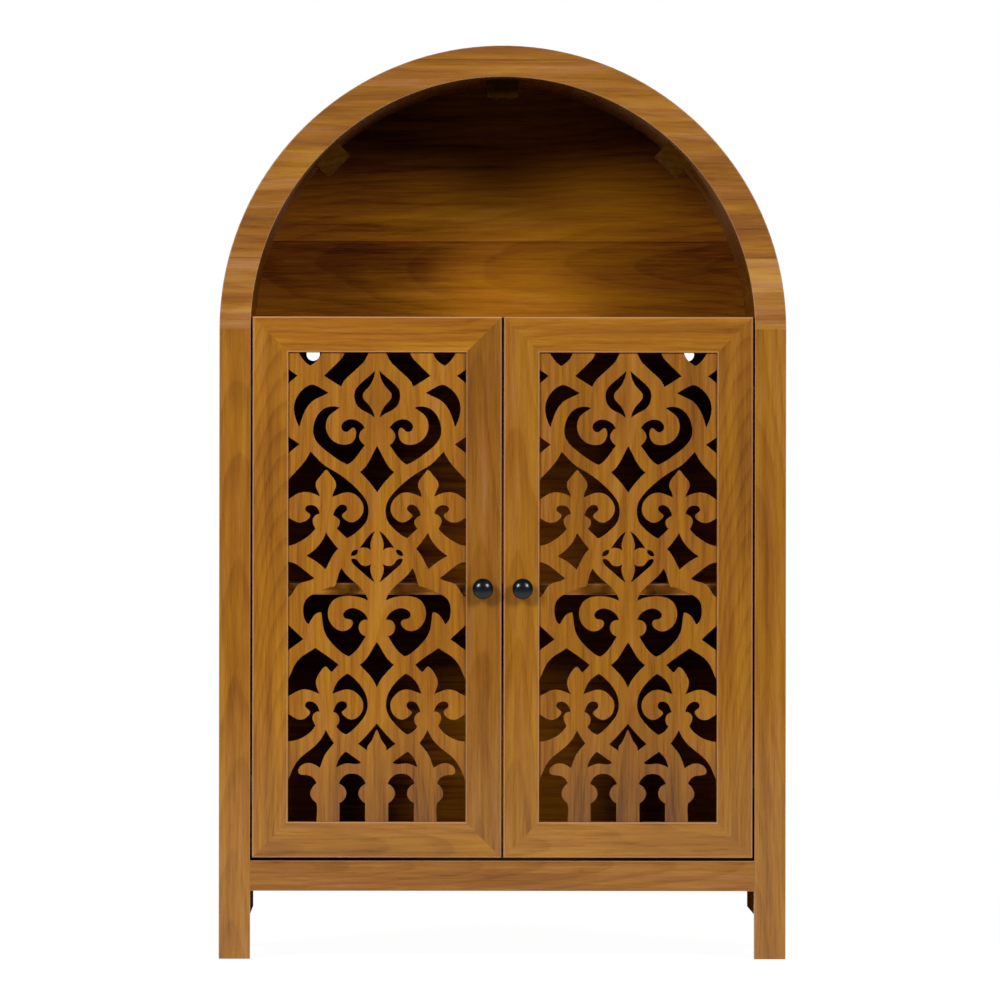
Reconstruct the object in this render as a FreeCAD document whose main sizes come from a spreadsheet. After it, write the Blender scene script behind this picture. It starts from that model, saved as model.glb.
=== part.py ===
import FreeCAD
import Part
import math
import os
from types import SimpleNamespace

import Sketcher

# A free-standing cabinet with a round-arched top, an open niche in the arch and a cupboard
# below it, closed by two doors with a pierced fretwork panel each.
# Millimetres. +X is to the right, +Y runs from the front to the back and +Z is up.
# The origin is on the floor, in the middle of the box that holds the cabinet and its knobs.

SIZES = {
    # Whole cabinet
    "width": 600.0,
    "depth": 300.0,
    "spring_height": 667.0,
    "frame_width": 33.0,
    "frame_thick": 18.0,
    "frame_ease": 1.0,
    "board_thick": 15.0,
    "fit_gap": 0.1,
    "overrun": 2.0,
    # Sides and feet
    "foot_height": 47.0,
    "front_foot": 26.0,
    "rear_foot": 46.0,
    "foot_round": 12.0,
    "liner_run": 210.0,
    # Back panel
    "back_thick": 4.0,
    "back_inset": 3.0,
    "back_lift": 62.0,
    "wall_hole_spacing": 407.4,
    "wall_hole_height": 644.5,
    "wall_hole_radius": 7.25,
    # Front rail, fixed panels and shelf
    "rail_lift": 72.0,
    "rail_height": 32.0,
    "panel_setback": 2.0,
    "sill_drop": 1.0,
    "shelf_thick": 12.0,
    "shelf_rise": 281.0,
    "shelf_setback": 36.0,
    "shelf_end_gap": 1.0,
    "shelf_ease": 1.0,
    "pin_radius": 2.5,
    "pin_in": 9.0,
    "pin_out": 9.0,
    "pin_collar_radius": 4.0,
    "pin_collar_thick": 0.8,
    "pin_edge": 38.0,
    # Blocks over the joints of the arch
    "block_width": 33.0,
    "block_drop": 19.5,
    "block_length": 88.0,
    "block_setback": 40.0,
    # Doors
    "door_rise": 13.0,
    "door_gap": 2.0,
    "door_foot_gap": 3.0,
    "member_width": 38.0,
    "member_thick": 18.0,
    "member_ease": 2.2,
    "lip_thick": 4.5,
    "rebate_width": 8.0,
    "fret_thick": 6.0,
    "fret_edge_gap": 0.5,
    "fret_tuck": 1.0,
    # Knobs
    "knob_reach": 22.0,
    "knob_radius": 11.0,
    "knob_head": 11.0,
    "knob_foot_radius": 8.0,
    "knob_foot_thick": 2.5,
    "knob_neck_radius": 5.0,
    "knob_inset": 20.0,
    "knob_height": 285.0,
    "knob_screw_radius": 2.0,
    "knob_screw_grip": 11.0,
    "knob_screw_head_radius": 4.0,
    "knob_screw_head": 2.2,
    # Hinges
    "hinge_from_end": 80.0,
    "cup_inset": 16.0,
    "cup_radius": 13.0,
    "cup_depth": 11.5,
    "cup_wall": 1.0,
    "flange_thick": 1.2,
    "flange_width": 28.0,
    "flange_height": 50.0,
    "flange_screw_reach": 19.5,
    "link_thick": 2.5,
    "link_height": 10.0,
    "link_reach": 24.5,
    "link_hook": 11.0,
    "link_hook_thick": 3.0,
    "link_front": 9.0,
    "link_length": 47.0,
    "arm_front": 24.0,
    "arm_length": 50.0,
    "arm_height": 15.0,
    "arm_wall": 2.5,
    "plate_thick": 3.0,
    "plate_front": 30.0,
    "plate_length": 46.0,
    "plate_height": 14.0,
    "plate_wing_width": 13.0,
    "plate_wing_height": 48.0,
    "plate_screw_line": 37.0,
    "plate_screw_reach": 16.0,
    # Magnetic catch
    "catch_width": 46.0,
    "catch_length": 16.0,
    "catch_height": 14.0,
    "catch_gap": 0.3,
    "magnet_width": 14.0,
    "magnet_length": 8.0,
    "magnet_height": 5.0,
    "strike_width": 15.0,
    "strike_height": 25.0,
    "strike_thick": 1.2,
    "strike_inset": 12.0,
    "strike_drop": 1.0,
    "strike_screw_gap": 1.2,
    # Dowels, cam fittings and screws
    "dowel_radius": 4.0,
    "dowel_length": 30.0,
    "mitre_dowel_radius": 3.0,
    "mitre_dowel_length": 22.0,
    "cam_radius": 7.5,
    "cam_height": 12.0,
    "cam_offset": 34.0,
    "cam_core": 4.0,
    "cam_edge": 50.0,
    "bolt_radius": 3.0,
    "bolt_bore_radius": 4.0,
    "bolt_head_radius": 3.6,
    "bolt_head": 2.5,
    "bolt_grip": 11.0,
    "screw_radius": 1.75,
    "screw_head_radius": 3.5,
    "screw_head": 2.0,
    "screw_short": 10.0,
    "screw_length": 13.0,
    "screw_long": 34.0,
    "back_screw_edge": 12.0,
}

SIDES = {"left": -1, "right": 1}

# The arch is a half turn, in degrees. The blocks sit over three of the joints between its
# segments, and the back panel's screws are spread along it, at these shares of the half turn.
HALF_TURN = 180
SEGMENT_COUNT = 4
BLOCK_TURN_SHARES = {"right": 1 / 4, "top": 2 / 4, "left": 3 / 4}
ARCH_SCREW_TURN_SHARES = (1 / 6, 1 / 3, 5 / 12, 7 / 12, 2 / 3, 5 / 6)

# Turns that carry the +Z axis of a round piece onto another axis
X_AXIS = FreeCAD.Vector(1, 0, 0)
Y_AXIS = FreeCAD.Vector(0, 1, 0)
Z_AXIS = FreeCAD.Vector(0, 0, 1)
ALONG = {
    "+x": FreeCAD.Rotation(Y_AXIS, 90),
    "-x": FreeCAD.Rotation(Y_AXIS, -90),
    "+y": FreeCAD.Rotation(X_AXIS, -90),
    "-y": FreeCAD.Rotation(X_AXIS, 90),
    "+z": FreeCAD.Rotation(X_AXIS, 0),
    "-z": FreeCAD.Rotation(X_AXIS, 180),
}
OPPOSITE = {"+x": "-x", "-x": "+x", "+y": "-y", "-y": "+y", "+z": "-z", "-z": "+z"}


# Sizes that carry their formula

class Size:
    """A length with its formula, so that a sum of sizes stays bound to the sheet."""

    def __init__(self, formula, value):
        self.formula = formula
        self.value = value

    def __add__(self, other):
        return combine(self, "+", other)

    def __radd__(self, other):
        return combine(other, "+", self)

    def __sub__(self, other):
        return combine(self, "-", other)

    def __rsub__(self, other):
        return combine(other, "-", self)

    def __mul__(self, other):
        return combine(self, "*", other)

    def __rmul__(self, other):
        return combine(other, "*", self)

    def __truediv__(self, other):
        return combine(self, "/", other)

    def __neg__(self):
        return combine(-1, "*", self)


def as_size(value):
    return value if isinstance(value, Size) else Size(repr(value), float(value))


def combine(left, sign, right):
    left, right = as_size(left), as_size(right)
    results = {
        "+": left.value + right.value,
        "-": left.value - right.value,
        "*": left.value * right.value,
        "/": left.value / right.value if right.value else 0.0,
    }
    return Size(f"({left.formula} {sign} {right.formula})", results[sign])


doc = FreeCAD.newDocument("arched_cabinet")
sheet = doc.addObject("Spreadsheet::Sheet", "dims")
for row, (alias, value) in enumerate(SIZES.items(), start=1):
    sheet.set(f"A{row}", alias)
    sheet.set(f"B{row}", str(value))
    sheet.setAlias(f"B{row}", alias)
doc.recompute()
size = SimpleNamespace(**{alias: Size(f"dims.{alias}", float(sheet.get(alias))) for alias in SIZES})

# Places worked out from the sizes

half_width = size.width / 2
inner_half = half_width - size.frame_width
liner_thick = size.frame_width - size.board_thick
front = (size.knob_reach - size.depth) / 2
back = front + size.depth
carcass_front = front + size.frame_thick
carcass_back = back - size.back_thick
carcass_depth = carcass_back - carcass_front

door_bottom = size.rail_lift + size.rail_height + size.door_foot_gap
door_top = size.spring_height + size.door_rise
door_height = door_top - door_bottom
door_width = inner_half - size.door_gap * 3 / 2
door_middle = size.door_gap / 2 + door_width / 2
door_rear = front + size.member_thick
turning_line = inner_half - size.door_gap / 2

bottom_panel_lift = size.rail_lift + size.rail_height - size.board_thick
top_panel_lift = door_top - size.sill_drop - size.board_thick
shelf_lift = bottom_panel_lift + size.board_thick + size.shelf_rise


# Making and placing

nodes = []


def bind(thing, name, value):
    thing.setExpression(name, as_size(value).formula)


def place(thing, x=0, y=0, z=0, turn=None):
    if turn is not None:
        thing.Placement = FreeCAD.Placement(FreeCAD.Vector(), turn)
    for axis, value in (("x", x), ("y", y), ("z", z)):
        bind(thing, f"Placement.Base.{axis}", value)
    return thing


def node(label, thing):
    """Marks a finished piece of the cabinet and gives it its name."""
    thing.Label = label
    nodes.append(thing)
    return thing


def box(label, length, width, height, x=0, y=0, z=0, turn=None):
    thing = doc.addObject("Part::Box", label)
    bind(thing, "Length", length)
    bind(thing, "Width", width)
    bind(thing, "Height", height)
    return place(thing, x, y, z, turn)


def middle_box(label, length, width, height, x, y, z):
    """A box given by the middle of its length and height and by the start of its width."""
    return box(label, length, width, height, x - length / 2, y, z - height / 2)


def turn_of(along):
    """The turn for a named direction. A turn given as such stays as it is."""
    return ALONG[along] if isinstance(along, str) else along


def rod(label, radius, length, x=0, y=0, z=0, along="+z"):
    thing = doc.addObject("Part::Cylinder", label)
    bind(thing, "Radius", radius)
    bind(thing, "Height", length)
    return place(thing, x, y, z, turn_of(along))


def cone(label, start_radius, end_radius, length, x=0, y=0, z=0, along="+z"):
    thing = doc.addObject("Part::Cone", label)
    bind(thing, "Radius1", start_radius)
    bind(thing, "Radius2", end_radius)
    bind(thing, "Height", length)
    return place(thing, x, y, z, turn_of(along))


def fused(label, pieces):
    thing = doc.addObject("Part::MultiFuse", label)
    thing.Shapes = pieces
    return thing


def group(label, pieces):
    """Separate solids under one name."""
    thing = doc.addObject("Part::Compound", label)
    thing.Links = pieces
    return thing


def cut(label, base, tools):
    thing = doc.addObject("Part::Cut", label)
    thing.Base = base
    thing.Tool = tools[0] if len(tools) == 1 else group(label + "_holes", tools)
    return thing


def half_ring(label, outer, inner, length, y, start=0, sweep=HALF_TURN):
    """A stretch of the arch: its angles run from +X over the top, its length from y to the front."""
    pieces = []
    turn = FreeCAD.Rotation(X_AXIS, 90) * FreeCAD.Rotation(Z_AXIS, start)
    for name, radius in (("outside", outer), ("inside", inner)):
        sector = rod(f"{label}_{name}", radius, length, 0, y, size.spring_height, turn)
        sector.Angle = sweep
        pieces.append(sector)
    return cut(label, pieces[0], pieces[1:])


def plane_of(body, role):
    return next(item for item in body.Origin.OriginFeatures if item.Role == role)


def outline(body, role, corners, name):
    """A closed sketch of straight lines whose corners are all bound to sizes."""
    sketch = body.newObject("Sketcher::SketchObject", name)
    sketch.AttachmentSupport = (plane_of(body, role), [""])
    sketch.MapMode = "FlatFace"
    corners = [(as_size(across), as_size(up)) for across, up in corners]
    points = [FreeCAD.Vector(across.value, up.value, 0) for across, up in corners]
    count = len(points)
    for index in range(count):
        sketch.addGeometry(Part.LineSegment(points[index], points[(index + 1) % count]), False)
    for index in range(count):
        sketch.addConstraint(Sketcher.Constraint("Coincident", index, 2, (index + 1) % count, 1))
    for index, (across, up) in enumerate(corners):
        for kind, value in (("DistanceX", across), ("DistanceY", up)):
            number = sketch.addConstraint(Sketcher.Constraint(kind, -1, 1, index, 1, value.value))
            sketch.renameConstraint(number, f"{kind}{index}")
            sketch.setExpression(f"Constraints.{kind}{index}", value.formula)
    return sketch


def padded(label, role, corners, length, backwards=False):
    """A body made by padding an outline. On XZ the pad runs to the back when backwards is set."""
    body = doc.addObject("PartDesign::Body", label)
    pad = body.newObject("PartDesign::Pad", "pad")
    pad.Profile = outline(body, role, corners, "profile")
    bind(pad, "Length", length)
    pad.Reversed = backwards
    return body


def pocketed(body, role, corners, name):
    """Cuts an outline right through the body."""
    pocket = body.newObject("PartDesign::Pocket", name)
    pocket.Profile = outline(body, role, corners, name + "_profile")
    pocket.Type = "ThroughAll"
    return body


def eased(body, radius, wanted):
    """Rounds the edges of the body's last feature for which wanted(edge) is true."""
    doc.recompute()
    base = body.Tip
    names = [f"Edge{number}" for number, edge in enumerate(base.Shape.Edges, 1) if wanted(edge.BoundBox)]
    fillet = body.newObject("PartDesign::Fillet", "eased_edges")
    fillet.Base = (base, names)
    bind(fillet, "Radius", radius)
    return body


def near(value, target):
    return abs(value - as_size(target).value) < 1e-6


def on_front(bounds):
    """The edge lies in the piece's own front plane, where Y is zero, and isn't a short end."""
    return near(bounds.YMax, 0) and near(bounds.YMin, 0)


def rectangle(low_across, low_up, across, up):
    return [
        (low_across, low_up),
        (low_across + across, low_up),
        (low_across + across, low_up + up),
        (low_across, low_up + up),
    ]


def screw(label, length, x, y, z, along, sunk=False):
    """A wood screw and its hole. The place is the middle of the seat, and along is the way in."""
    shank = rod(label + "_shank", size.screw_radius, length, x, y, z, along)
    bore_radius = size.screw_radius + size.fit_gap
    bore = rod(label + "_bore", bore_radius, length + size.fit_gap, x, y, z, along)
    if not sunk:
        head = rod(label + "_head", size.screw_head_radius, size.screw_head, x, y, z, OPPOSITE[along])
        return fused(label, [shank, head]), bore
    head = cone(label + "_head", size.screw_head_radius, size.screw_radius, size.screw_head, x, y, z, along)
    head_seat = cone(label + "_seat", size.screw_head_radius + size.fit_gap, bore_radius,
                     size.screw_head, x, y, z, along)
    return fused(label, [shank, head]), fused(label + "_hole", [bore, head_seat])


def dowel(label, x, y, z, along):
    """A dowel centred on a joint, and the hole that takes it."""
    pair = []
    for name, gap in (("", 0), ("_hole", size.fit_gap)):
        reach = size.dowel_length / 2 + gap
        start = {"+x": (x - reach, y, z), "+y": (x, y - reach, z), "+z": (x, y, z - reach)}[along]
        pair.append(rod(label + name, size.dowel_radius + gap, reach * 2, *start, along))
    return pair


# Dowels, cam fittings and back screws. They come first because their holes cut the boards.

dowels = []
dowel_holes = {"post": [], "rail": [], "ring": [], "arch": [], "liner": [], "panel": []}


def add_dowel(label, x, y, z, along, *boards):
    pin, hole = dowel(label, x, y, z, along)
    dowels.append(pin)
    for board in boards:
        dowel_holes[board].append(hole)


rail_middle = front + size.frame_thick / 2
liner_middle = inner_half + liner_thick / 2
post_middle = inner_half + size.frame_width / 2
for side, sign in SIDES.items():
    for step in (1, 3, 5):
        add_dowel(f"post_dowel_{side}_{step}", sign * liner_middle, carcass_front,
                  size.spring_height * step / 6, "+y", "post", "liner")
    for level in (-1, 1):
        add_dowel(f"rail_dowel_{side}_{level}", sign * inner_half, rail_middle,
                  size.rail_lift + size.rail_height / 2 + level * size.rail_height / 4, "+x", "post", "rail")
    add_dowel(f"ring_dowel_{side}", sign * post_middle, rail_middle, size.spring_height, "+z", "post", "ring")
    for end in (1, 2):
        add_dowel(f"arch_dowel_{side}_{end}", sign * liner_middle,
                  carcass_front + carcass_depth * end / 3, size.spring_height, "+z", "liner", "arch")
    for panel, lift, boards in (("top", top_panel_lift, ("panel", "arch", "liner")),
                                ("bottom", bottom_panel_lift, ("panel", "liner"))):
        add_dowel(f"{panel}_panel_dowel_{side}", sign * inner_half, carcass_front + carcass_depth / 2,
                  lift + size.board_thick / 2, "+x", *boards)

cams = []
bolts = []
cam_bores = []
bolt_bores = []
for side, sign in SIDES.items():
    outward = "+x" if sign > 0 else "-x"
    for panel, lift in (("top", top_panel_lift), ("bottom", bottom_panel_lift)):
        for end, y in (("front", carcass_front + size.cam_edge), ("rear", carcass_back - size.cam_edge)):
            name = f"{panel}_{side}_{end}"
            middle = lift + size.board_thick / 2
            cam_x = sign * (inner_half - size.cam_offset)
            shaft_x = sign * (inner_half - size.cam_offset + size.cam_core)
            shaft_length = size.cam_offset - size.cam_core + size.bolt_grip
            shaft = rod(f"shaft_{name}", size.bolt_radius, shaft_length, shaft_x, y, middle, outward)
            head = rod(f"bolt_head_{name}", size.bolt_head_radius, size.bolt_head, shaft_x, y, middle, outward)
            bolts.append(fused(f"bolt_{name}", [shaft, head]))
            wide = rod(f"wide_bore_{name}", size.bolt_bore_radius, size.cam_offset, cam_x, y, middle, outward)
            grip = rod(f"grip_bore_{name}", size.bolt_radius + size.fit_gap,
                       shaft_length + size.fit_gap, shaft_x, y, middle, outward)
            bore = fused(f"bolt_bore_{name}", [wide, grip])
            bolt_bores.append(bore)
            drum = rod(f"drum_{name}", size.cam_radius, size.cam_height, cam_x, y, lift)
            cams.append(cut(f"cam_{name}", drum, [bore]))
            cam_bores.append(rod(f"cam_bore_{name}", size.cam_radius + size.fit_gap,
                                 size.cam_height + size.fit_gap, cam_x, y, lift))

back_screws = []
back_holes = []


def add_back_screw(label, x, z):
    pin, hole = screw(label, size.back_thick + size.screw_length, x, back, z, "-y", sunk=True)
    back_screws.append(pin)
    back_holes.append(hole)


side_screw_x = half_width - size.back_screw_edge
for side, sign in SIDES.items():
    for step in (1, 2, 3, 4):
        add_back_screw(f"back_screw_{side}_{step}", sign * side_screw_x,
                       size.back_lift + (size.spring_height - size.back_lift) * (step * 2 - 1) / 8)
for number, share in enumerate(ARCH_SCREW_TURN_SHARES, 1):
    across, up = math.cos(math.pi * share), math.sin(math.pi * share)
    add_back_screw(f"back_screw_arch_{number}", side_screw_x * across, size.spring_height + side_screw_x * up)
for panel, lift in (("top", top_panel_lift), ("bottom", bottom_panel_lift)):
    for across in (-1, 0, 1):
        add_back_screw(f"back_screw_{panel}_{across}", inner_half * across / 2, lift + size.board_thick / 2)

# Face frame: a half ring on two posts, and the rail under the doors

ring = half_ring("ring_blank", half_width, inner_half, size.frame_thick, carcass_front)
doc.recompute()
ring_edges = [
    number for number, edge in enumerate(ring.Shape.Edges, 1)
    if near(edge.BoundBox.YMax, front) and edge.Curve.TypeId == "Part::GeomCircle"
]
ring_eased = doc.addObject("Part::Fillet", "ring_eased")
ring_eased.Base = ring
ring_eased.Edges = [(number, size.frame_ease.value, size.frame_ease.value) for number in ring_edges]
node("arch_ring", cut("arch_ring", ring_eased, dowel_holes["ring"]))

for side, sign in SIDES.items():
    post = padded(f"post_blank_{side}", "XY_Plane",
                  rectangle(0, 0, size.frame_width, size.frame_thick), size.spring_height)
    eased(post, size.frame_ease, lambda bounds: on_front(bounds) and bounds.ZLength > bounds.XLength)
    place(post, inner_half if sign > 0 else -half_width, front, 0)
    node(f"post_{side}", cut(f"post_{side}", post, dowel_holes["post"]))

rail = padded("front_rail_blank", "YZ_Plane",
              rectangle(0, 0, size.frame_thick, size.rail_height), inner_half * 2)
eased(rail, size.frame_ease, lambda bounds: on_front(bounds) and bounds.XLength > bounds.ZLength)
place(rail, -inner_half, front, size.rail_lift)
node("front_rail", cut("front_rail", rail, dowel_holes["rail"]))

# Sides: an outer panel with a cut-out between its feet, and a liner that brings it out to the posts

for side, sign in SIDES.items():
    feet = [
        (0, 0),
        (size.front_foot, 0),
        (size.front_foot, size.foot_height),
        (carcass_depth - size.rear_foot, size.foot_height),
        (carcass_depth - size.rear_foot, 0),
        (carcass_depth, 0),
        (carcass_depth, size.spring_height),
        (0, size.spring_height),
    ]
    panel = padded(f"side_panel_blank_{side}", "YZ_Plane", feet, size.board_thick)
    eased(panel, size.foot_round, lambda bounds: near(bounds.ZMin, size.foot_height)
          and bounds.XLength > bounds.YLength)
    place(panel, half_width - size.board_thick if sign > 0 else -half_width, carcass_front, 0)
    node(f"side_panel_{side}", cut(f"side_panel_{side}", panel, back_holes))

# Hinges: a cup in the door, an arm on a plate on the liner, and the sliding link between them.
# Reaches are counted from the door's turning line towards the middle of the cabinet.

hinge_levels = {"lower": door_bottom + size.hinge_from_end, "upper": door_top - size.hinge_from_end}
plate_face = size.plate_thick - size.door_gap / 2
arm_reach = size.link_reach + size.fit_gap * 3 + size.arm_wall
hinge_plates = []
hinge_arms = []
plate_screws = []
liner_holes = list(dowel_holes["liner"]) + bolt_bores
links = {}
cups = {}
cup_screws = {}
stile_holes = {}


def reach_box(label, sign, low, high, y, width, z, height):
    """A box between two reaches from the turning line, centred in height."""
    start = turning_line - high if sign > 0 else low - turning_line
    return box(label, high - low, width, height, start, y, z - height / 2)


for side, sign in SIDES.items():
    outward = "+x" if sign > 0 else "-x"
    links[side] = []
    cups[side] = []
    cup_screws[side] = []
    stile_holes[side] = []
    for level, z in hinge_levels.items():
        name = f"{side}_{level}"
        low = -size.door_gap / 2
        strip = reach_box(f"plate_strip_{name}", sign, low, plate_face, front + size.plate_front,
                          size.plate_length, z, size.plate_height)
        wing = reach_box(f"plate_wing_{name}", sign, low, plate_face,
                         carcass_front + size.plate_screw_line - size.plate_wing_width / 2,
                         size.plate_wing_width, z, size.plate_wing_height)
        plate = fused(f"plate_{name}", [strip, wing])
        plate_holes = []
        for way in (-1, 1):
            pin, hole = screw(f"plate_screw_{name}_{way}", size.screw_length,
                              sign * (turning_line - plate_face), carcass_front + size.plate_screw_line,
                              z + way * size.plate_screw_reach, outward)
            plate_screws.append(pin)
            plate_holes.append(hole)
            liner_holes.append(hole)
        hinge_plates.append(cut(f"drilled_plate_{name}", plate, plate_holes))

        arm = reach_box(f"arm_blank_{name}", sign, plate_face, arm_reach, front + size.arm_front,
                        size.arm_length, z, size.arm_height)
        slot = reach_box(f"arm_slot_{name}", sign, size.link_reach - size.link_thick - size.fit_gap * 3,
                         size.link_reach + size.fit_gap * 3, front + size.arm_front - size.overrun,
                         size.arm_length + size.overrun * 2, z, size.link_height + size.fit_gap * 6)
        hinge_arms.append(cut(f"arm_{name}", arm, [slot]))

        shaft = reach_box(f"link_shaft_{name}", sign, size.link_reach - size.link_thick, size.link_reach,
                          front + size.link_front, size.link_length, z, size.link_height)
        hook = reach_box(f"link_hook_{name}", sign, size.link_reach - size.link_hook, size.link_reach,
                         front + size.link_front, size.link_hook_thick, z, size.link_height)
        links[side].append(fused(f"link_{name}", [shaft, hook]))

        cup_reach = size.cup_inset + size.door_gap / 2
        cup_x = sign * (turning_line - cup_reach)
        shell = rod(f"cup_shell_{name}", size.cup_radius, size.cup_depth, cup_x, door_rear, z, "-y")
        flange = reach_box(f"cup_flange_{name}", sign, cup_reach - size.flange_width / 2,
                           cup_reach + size.flange_width / 2, door_rear, size.flange_thick,
                           z, size.flange_height)
        bowl = rod(f"cup_bowl_{name}", size.cup_radius - size.cup_wall,
                   size.cup_depth - size.cup_wall + size.flange_thick + size.overrun, cup_x,
                   door_rear + size.flange_thick + size.overrun, z, "-y")
        cup_holes = [bowl]
        stile_holes[side].append(rod(f"cup_bore_{name}", size.cup_radius + size.fit_gap,
                                     size.cup_depth + size.fit_gap, cup_x, door_rear, z, "-y"))
        for way in (-1, 1):
            pin, hole = screw(f"cup_screw_{name}_{way}", size.screw_short, cup_x,
                              door_rear + size.flange_thick, z + way * size.flange_screw_reach, "-y")
            cup_screws[side].append(pin)
            cup_holes.append(hole)
            stile_holes[side].append(hole)
        cups[side].append(cut(f"cup_{name}", fused(f"cup_blank_{name}", [shell, flange]), cup_holes))
    node(f"hinge_links_{side}", group(f"hinge_links_{side}", links[side]))

node("hinge_plates", group("hinge_plates", hinge_plates))
node("hinge_arms", group("hinge_arms", hinge_arms))
node("hinge_plate_screws", group("hinge_plate_screws", plate_screws))

# Shelf on four pins

shelf_front = carcass_front + size.shelf_setback
shelf_back = carcass_back - size.shelf_end_gap
shelf = padded("shelf_blank", "XY_Plane",
               rectangle(0, 0, inner_half * 2 - size.shelf_end_gap * 2, shelf_back - shelf_front),
               size.shelf_thick)
eased(shelf, size.shelf_ease, lambda bounds: on_front(bounds) and bounds.XLength > bounds.ZLength)
place(shelf, size.shelf_end_gap - inner_half, shelf_front, shelf_lift)
node("shelf", shelf)

shelf_pins = []
for side, sign in SIDES.items():
    outward = "+x" if sign > 0 else "-x"
    for end, y in (("front", shelf_front + size.pin_edge), ("rear", shelf_back - size.pin_edge)):
        start = sign * (inner_half - size.pin_out)
        z = shelf_lift - size.pin_radius
        pin = rod(f"pin_{side}_{end}", size.pin_radius, size.pin_out + size.pin_in, start, y, z, outward)
        collar = rod(f"pin_collar_{side}_{end}", size.pin_collar_radius, size.pin_collar_thick,
                     sign * (inner_half - size.pin_collar_thick), y, z, outward)
        shelf_pins.append(fused(f"shelf_pin_{side}_{end}", [pin, collar]))
        liner_holes.append(rod(f"pin_hole_{side}_{end}", size.pin_radius + size.fit_gap,
                               size.pin_out + size.pin_in + size.fit_gap, start, y, z, outward))
node("shelf_pins", group("shelf_pins", shelf_pins))

for side, sign in SIDES.items():
    profile = [
        (0, size.foot_height),
        (size.liner_run, size.foot_height),
        (size.liner_run, size.rail_lift),
        (carcass_depth, size.rail_lift),
        (carcass_depth, size.spring_height),
        (0, size.spring_height),
    ]
    liner = padded(f"liner_blank_{side}", "YZ_Plane", profile, liner_thick)
    place(liner, inner_half if sign > 0 else -inner_half - liner_thick, carcass_front, 0)
    node(f"side_liner_{side}", cut(f"side_liner_{side}", liner, liner_holes + back_holes))

# Arch: four curved segments behind the ring, with a block screwed over each joint between them

block_rear = carcass_front + size.block_setback + size.block_length
block_screws = []
block_holes = []
for name, share in BLOCK_TURN_SHARES.items():
    angle = HALF_TURN * share
    turn = FreeCAD.Rotation(Y_AXIS, HALF_TURN / 2 - angle)
    out_x, out_z = math.cos(math.radians(angle)), math.sin(math.radians(angle))
    low = inner_half - size.block_drop

    def beside(radius, across):
        """The place at a radius from the arch's middle, moved across it along the arch."""
        return radius * out_x - across * out_z, size.spring_height + radius * out_z + across * out_x

    corner_x, corner_z = beside(low, size.block_width / 2)
    blank = box(f"block_blank_{name}", size.block_width, size.block_length, size.block_drop * 2,
                corner_x, block_rear - size.block_length, corner_z, turn)
    bed = rod(f"block_bed_{name}", inner_half, size.depth, 0, back, size.spring_height, "-y")
    fitted = doc.addObject("Part::Common", f"block_fitted_{name}")
    fitted.Base = blank
    fitted.Tool = bed
    holes = []
    for end in (-1, 1):
        for way in (-1, 1):
            x, z = beside(low, way * size.block_width / 4)
            y = block_rear - size.block_length / 2 + end * size.block_length / 4
            label = f"block_screw_{name}_{end}_{way}"
            shank = rod(label + "_shank", size.screw_radius, size.screw_long, x, y, z, turn)
            head = cone(label + "_head", size.screw_head_radius, size.screw_radius, size.screw_head,
                        x, y, z, turn)
            bore = rod(label + "_bore", size.screw_radius + size.fit_gap,
                       size.screw_long + size.fit_gap, x, y, z, turn)
            seat = cone(label + "_seat", size.screw_head_radius + size.fit_gap,
                        size.screw_radius + size.fit_gap, size.screw_head, x, y, z, turn)
            block_screws.append(fused(label, [shank, head]))
            holes.append(fused(label + "_hole", [bore, seat]))
    block_holes += holes
    node(f"joint_block_{name}", cut(f"joint_block_{name}", fitted, holes))
node("joint_block_screws", group("joint_block_screws", block_screws))

segment_turn = HALF_TURN / SEGMENT_COUNT
for number in range(1, SEGMENT_COUNT + 1):
    segment = half_ring(f"segment_blank_{number}", half_width, inner_half, carcass_depth, carcass_back,
                        start=(number - 1) * segment_turn, sweep=segment_turn)
    node(f"arch_segment_{number}", cut(f"arch_segment_{number}", segment,
         dowel_holes["arch"] + bolt_bores + back_holes + block_holes))

# Floor of the niche and floor of the cupboard, each drawn to the sides by cam fittings

panel_depth = carcass_depth - size.panel_setback
top_blank = box("top_blank", inner_half * 2, panel_depth, size.board_thick,
                -inner_half, carcass_front + size.panel_setback, top_panel_lift)
arch_shell = half_ring("arch_shell", half_width, inner_half, size.depth, back)
panel_holes = dowel_holes["panel"] + bolt_bores + cam_bores + back_holes
node("top_panel", cut("top_panel", top_blank, [arch_shell] + panel_holes))

bottom_panel = padded("bottom_blank", "XY_Plane", rectangle(0, 0, inner_half * 2, carcass_depth),
                      size.board_thick)
place(bottom_panel, -inner_half, carcass_front, bottom_panel_lift)
node("bottom_panel", cut("bottom_panel", bottom_panel, panel_holes))

node("cam_locks", group("cam_locks", cams))
node("cam_bolts", group("cam_bolts", bolts))
node("dowels", group("dowels", dowels))

# Back panel, with the two holes for fixing the cabinet to a wall

back_half = half_width - size.back_inset
back_sheet = box("back_sheet", back_half * 2, size.back_thick, size.spring_height - size.back_lift,
                 -back_half, carcass_back, size.back_lift)
back_arch = rod("back_arch", back_half, size.back_thick, 0, back, size.spring_height, "-y")
back_arch.Angle = HALF_TURN
wall_holes = [
    rod(f"wall_hole_{side}", size.wall_hole_radius, size.back_thick + size.overrun * 2,
        sign * size.wall_hole_spacing / 2, back + size.overrun, size.wall_hole_height, "-y")
    for side, sign in SIDES.items()
]
node("back_panel", cut("back_panel", fused("back_blank", [back_sheet, back_arch]), wall_holes + back_holes))
node("back_panel_screws", group("back_panel_screws", back_screws))

# Magnetic catch under the niche floor

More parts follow.
